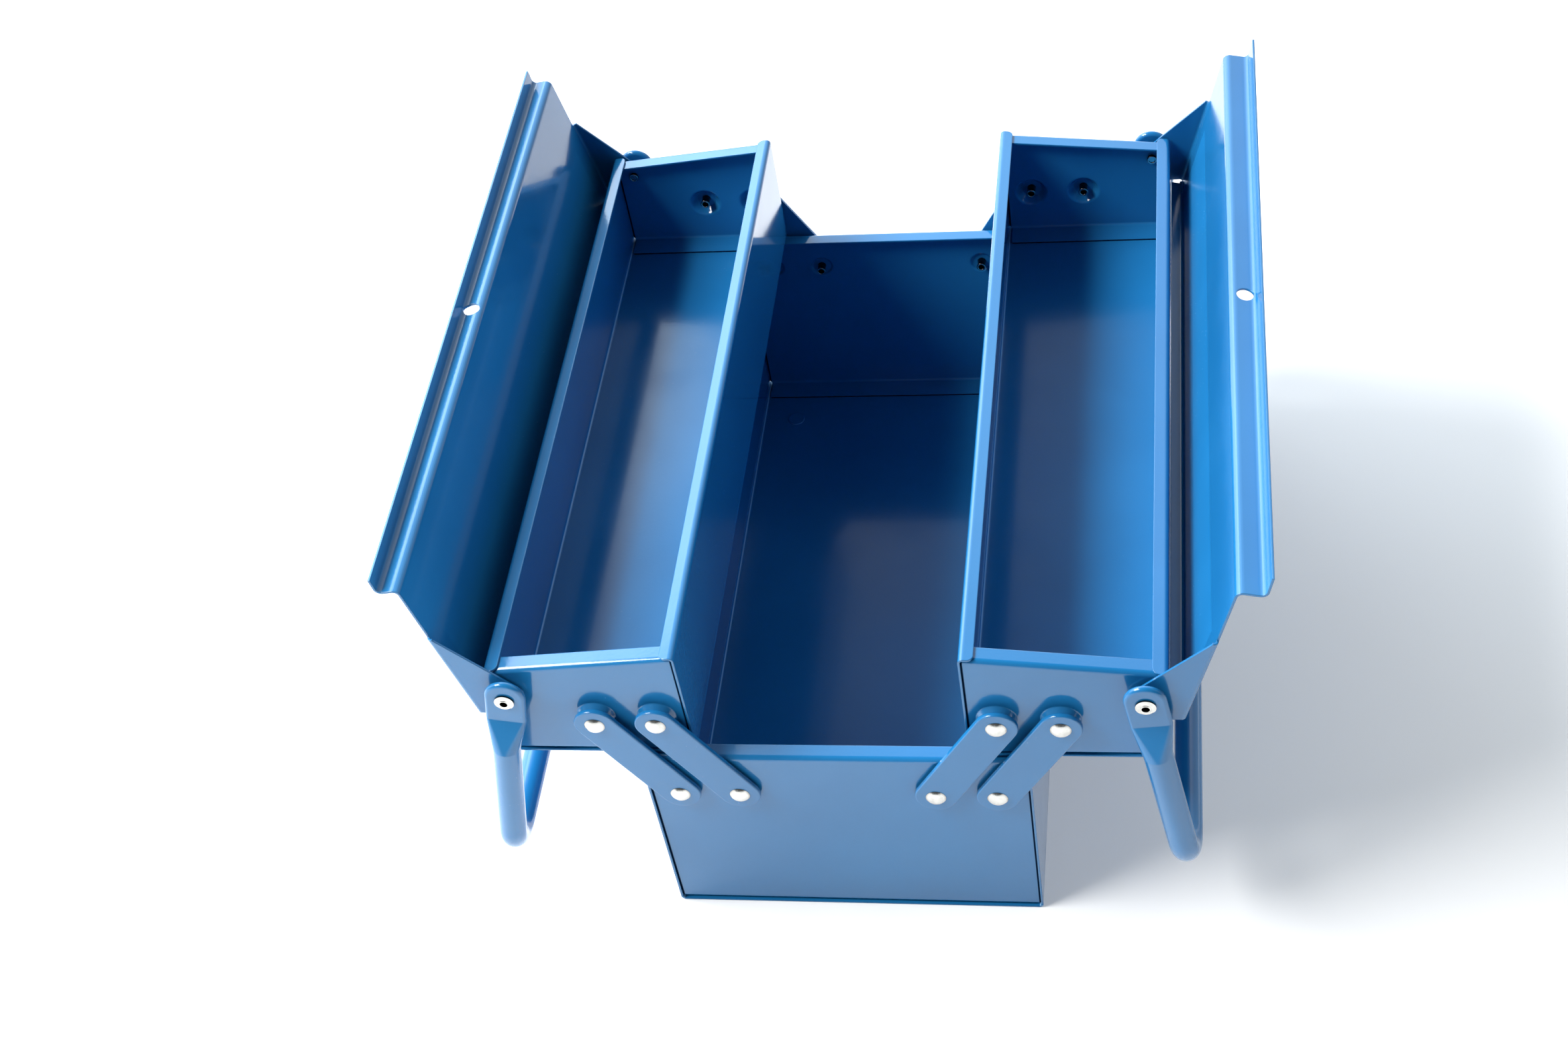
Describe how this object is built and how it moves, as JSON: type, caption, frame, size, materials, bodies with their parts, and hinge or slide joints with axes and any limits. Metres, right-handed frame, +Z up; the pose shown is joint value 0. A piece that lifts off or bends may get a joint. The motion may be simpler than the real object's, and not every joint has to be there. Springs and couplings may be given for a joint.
{
  "type": "cantilever tool box",
  "caption": "Cantilever tool box of folded sheet steel: a deep base with trays that swing out on riveted arms, each with a hinged lid and a tube handle.",
  "frame": {"origin": "middle of the underside of the base, on the surface the box stands on", "axes": "+X to the right tray, across the box; +Y along the box, away from the front end; +Z up"},
  "size_m": [0.3642, 0.376, 0.2275],
  "materials": {
    "base_paint": "gloss",
    "tray_paint": "gloss",
    "lid_paint": "gloss",
    "handle_paint": "gloss",
    "arm_paint": "gloss",
    "rivet_metal": "polished nickel plate",
    "handle_rivet_metal": "polished nickel plate"
  },
  "bodies": {
    "base": {"base_shell": "base_paint", "base_end_front": "base_paint", "base_end_rear": "base_paint", "left_base_rivets": "rivet_metal", "right_base_rivets": "rivet_metal"},
    "left_inner_arms": {"left_inner_arm_front": "arm_paint", "left_inner_arm_rear": "arm_paint"},
    "left_outer_arms": {"left_outer_arm_front": "arm_paint", "left_outer_arm_rear": "arm_paint"},
    "left_tray": {"left_tray_shell": "tray_paint", "left_tray_end_front": "tray_paint", "left_tray_end_rear": "tray_paint", "left_tray_rivets": "rivet_metal", "left_handle_rivets": "handle_rivet_metal"},
    "left_lid": {"left_lid": "lid_paint"},
    "left_handle": {"left_handle": "handle_paint"},
    "right_inner_arms": {"right_inner_arm_front": "arm_paint", "right_inner_arm_rear": "arm_paint"},
    "right_outer_arms": {"right_outer_arm_front": "arm_paint", "right_outer_arm_rear": "arm_paint"},
    "right_tray": {"right_tray_shell": "tray_paint", "right_tray_end_front": "tray_paint", "right_tray_end_rear": "tray_paint", "right_tray_rivets": "rivet_metal", "right_handle_rivets": "handle_rivet_metal"},
    "right_lid": {"right_lid": "lid_paint"},
    "right_handle": {"right_handle": "handle_paint"}
  },
  "joints": [
    {"name": "left_swing", "type": "hinge", "parent": "base", "child": "left_inner_arms", "pos_m": [-0.04354, 0, 0.0889], "axis": [0, 1, 0], "range_deg": [0, 61.6]},
    {"name": "left_outer_swing", "type": "hinge", "parent": "base", "child": "left_outer_arms", "pos_m": [-0.07044, 0, 0.0889], "axis": [0, 1, 0], "range_deg": [0, 61.6]},
    {"name": "left_tray_level", "type": "hinge", "parent": "left_inner_arms", "child": "left_tray", "pos_m": [-0.07298, 0, 0.13829], "axis": [0, 1, 0], "range_deg": [-61.6, 0]},
    {"name": "left_lid_hinge", "type": "hinge", "parent": "left_tray", "child": "left_lid", "pos_m": [-0.13518, 0, 0.158], "axis": [0, 1, 0], "range_deg": [0, 98.9]},
    {"name": "left_handle_hinge", "type": "hinge", "parent": "left_tray", "child": "left_handle", "pos_m": [-0.13518, 0, 0.158], "axis": [0, 1, 0], "range_deg": [0, 208]},
    {"name": "right_swing", "type": "hinge", "parent": "base", "child": "right_inner_arms", "pos_m": [0.04354, 0, 0.0889], "axis": [0, -1, 0], "range_deg": [0, 61.6]},
    {"name": "right_outer_swing", "type": "hinge", "parent": "base", "child": "right_outer_arms", "pos_m": [0.07044, 0, 0.0889], "axis": [0, -1, 0], "range_deg": [0, 61.6]},
    {"name": "right_tray_level", "type": "hinge", "parent": "right_inner_arms", "child": "right_tray", "pos_m": [0.07298, 0, 0.13829], "axis": [0, -1, 0], "range_deg": [-61.6, 0]},
    {"name": "right_lid_hinge", "type": "hinge", "parent": "right_tray", "child": "right_lid", "pos_m": [0.13518, 0, 0.158], "axis": [0, -1, 0], "range_deg": [0, 101.8]},
    {"name": "right_handle_hinge", "type": "hinge", "parent": "right_tray", "child": "right_handle", "pos_m": [0.13518, 0, 0.158], "axis": [0, -1, 0], "range_deg": [0, 209.8]}
  ],
  "couplings": [
    {"joint": "left_outer_swing", "follows": "left_swing", "ratio": 1},
    {"joint": "left_tray_level", "follows": "left_swing", "ratio": -1},
    {"joint": "right_outer_swing", "follows": "right_swing", "ratio": 1},
    {"joint": "right_tray_level", "follows": "right_swing", "ratio": -1}
  ]
}
